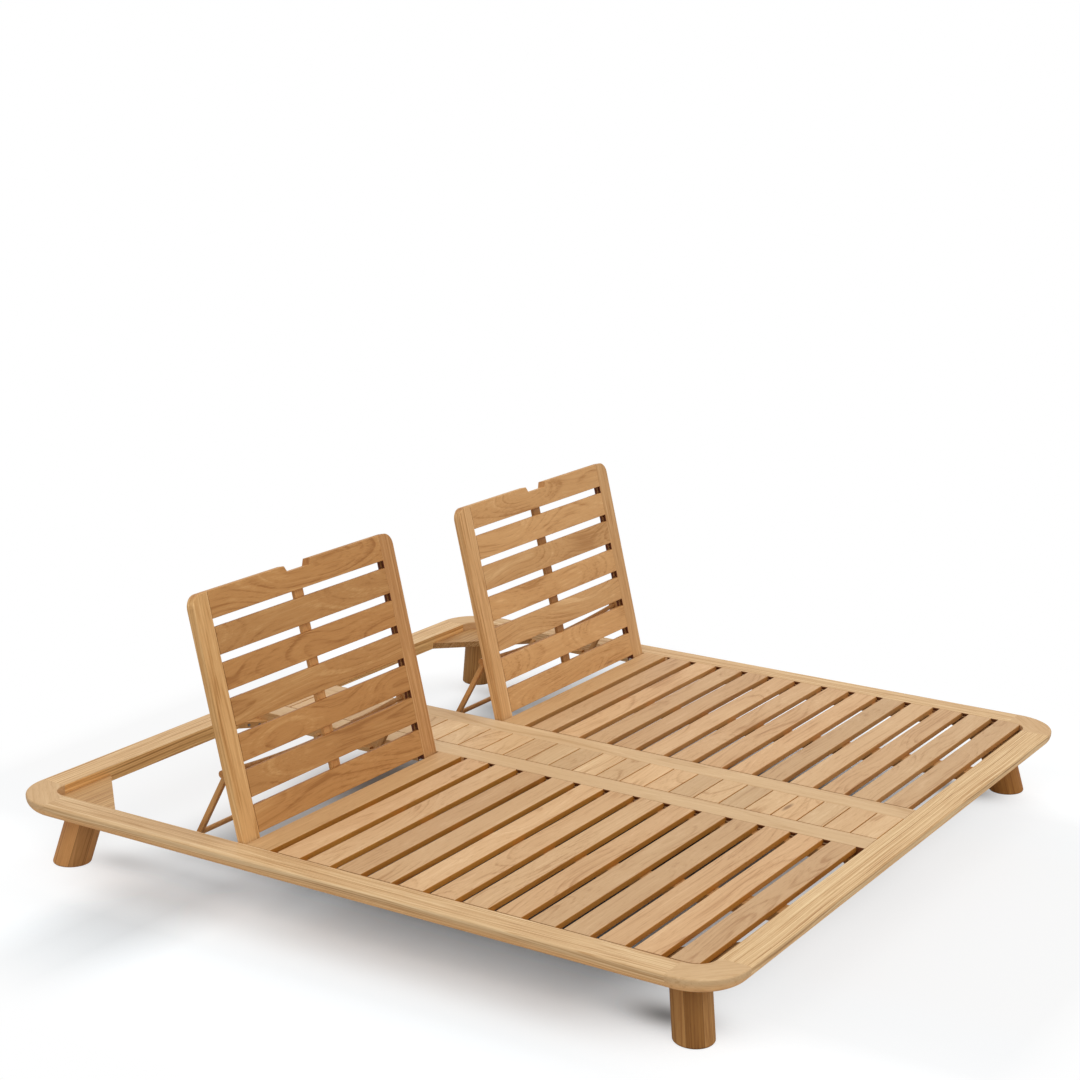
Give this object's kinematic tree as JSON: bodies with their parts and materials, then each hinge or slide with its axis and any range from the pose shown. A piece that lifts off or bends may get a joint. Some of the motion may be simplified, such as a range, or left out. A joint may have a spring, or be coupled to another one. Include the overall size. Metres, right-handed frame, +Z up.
{
  "type": "double chaise lounger",
  "caption": "Low slatted wooden platform for two with rounded corners, splayed round legs, a middle strip and two hinged slatted backs propped by stays.",
  "frame": {"origin": "on the floor under the middle of the platform", "axes": "+Z up, X across the two places with left at -X, +Y towards the head end that the backs lean to"},
  "size_m": [2, 1.95, 0.7438],
  "materials": {
    "teak_rail": "oiled",
    "teak_slat": "oiled",
    "teak_back": "oiled",
    "teak_inner": "plain",
    "teak_leg": "oiled",
    "teak_stay": "oiled",
    "teak_plug": "oiled",
    "steel": "brushed"
  },
  "bodies": {
    "frame": {"head_rail": "teak_rail", "foot_rail": "teak_rail", "side_rail_left": "teak_rail", "side_rail_right": "teak_rail", "corner_head_right": "teak_rail", "corner_head_left": "teak_rail", "corner_foot_right": "teak_rail", "corner_foot_left": "teak_rail", "strip_rail_left": "teak_rail", "strip_rail_right": "teak_rail", "cross_rail_left": "teak_rail", "cross_rail_right": "teak_rail", "strip_planks": "teak_slat", "seat_slats_left": "teak_slat", "seat_slats_right": "teak_slat", "strip_ledges": "teak_inner", "strip_blocks": "teak_inner", "gusset_head_right": "teak_inner", "gusset_head_left": "teak_inner", "gusset_foot_right": "teak_inner", "gusset_foot_left": "teak_inner", "seat_bearer_left": "teak_inner", "seat_bearer_right": "teak_inner", "seat_ledge_outer_left": "teak_inner", "seat_ledge_outer_right": "teak_inner", "seat_ledge_inner_left": "teak_inner", "seat_ledge_inner_right": "teak_inner", "rack_outer_left": "teak_inner", "rack_outer_right": "teak_inner", "rack_inner_left": "teak_inner", "rack_inner_right": "teak_inner", "leg_head_right": "teak_leg", "leg_head_left": "teak_leg", "leg_foot_right": "teak_leg", "leg_foot_left": "teak_leg", "leg_bolts": "steel", "hinge_bolts": "steel", "frame_screws": "steel", "gusset_plugs": "teak_plug"},
    "back_left": {"stile_outer_left": "teak_back", "stile_inner_left": "teak_back", "back_top_rail_left": "teak_back", "back_slats_left": "teak_back", "back_batten_left": "teak_back", "saddles_left": "teak_back"},
    "stay_left": {"stay_dowel_left": "teak_stay", "stay_arm_outer_left": "teak_stay", "stay_arm_inner_left": "teak_stay", "stay_bar_left": "teak_stay"},
    "back_right": {"stile_outer_right": "teak_back", "stile_inner_right": "teak_back", "back_top_rail_right": "teak_back", "back_slats_right": "teak_back", "back_batten_right": "teak_back", "saddles_right": "teak_back"},
    "stay_right": {"stay_dowel_right": "teak_stay", "stay_arm_outer_right": "teak_stay", "stay_arm_inner_right": "teak_stay", "stay_bar_right": "teak_stay"}
  },
  "joints": [
    {"name": "back_left_recline", "type": "hinge", "parent": "frame", "child": "back_left", "pos_m": [-0.5375, 0.3, 0.171], "axis": [-1, 0, 0], "range_deg": [0, 75.6]},
    {"name": "stay_left_swing", "type": "hinge", "parent": "back_left", "child": "stay_left", "pos_m": [-0.5375, 0.36685, 0.32883], "axis": [1, 0, 0], "range_deg": [0, 139.6]},
    {"name": "back_right_recline", "type": "hinge", "parent": "frame", "child": "back_right", "pos_m": [0.5375, 0.3, 0.171], "axis": [-1, 0, 0], "range_deg": [0, 75.6]},
    {"name": "stay_right_swing", "type": "hinge", "parent": "back_right", "child": "stay_right", "pos_m": [0.5375, 0.36685, 0.32883], "axis": [1, 0, 0], "range_deg": [0, 139.6]}
  ],
  "couplings": [
    {"joint": "stay_left_swing", "follows": "back_left_recline", "ratio": 1.8452},
    {"joint": "stay_right_swing", "follows": "back_right_recline", "ratio": 1.8452}
  ]
}
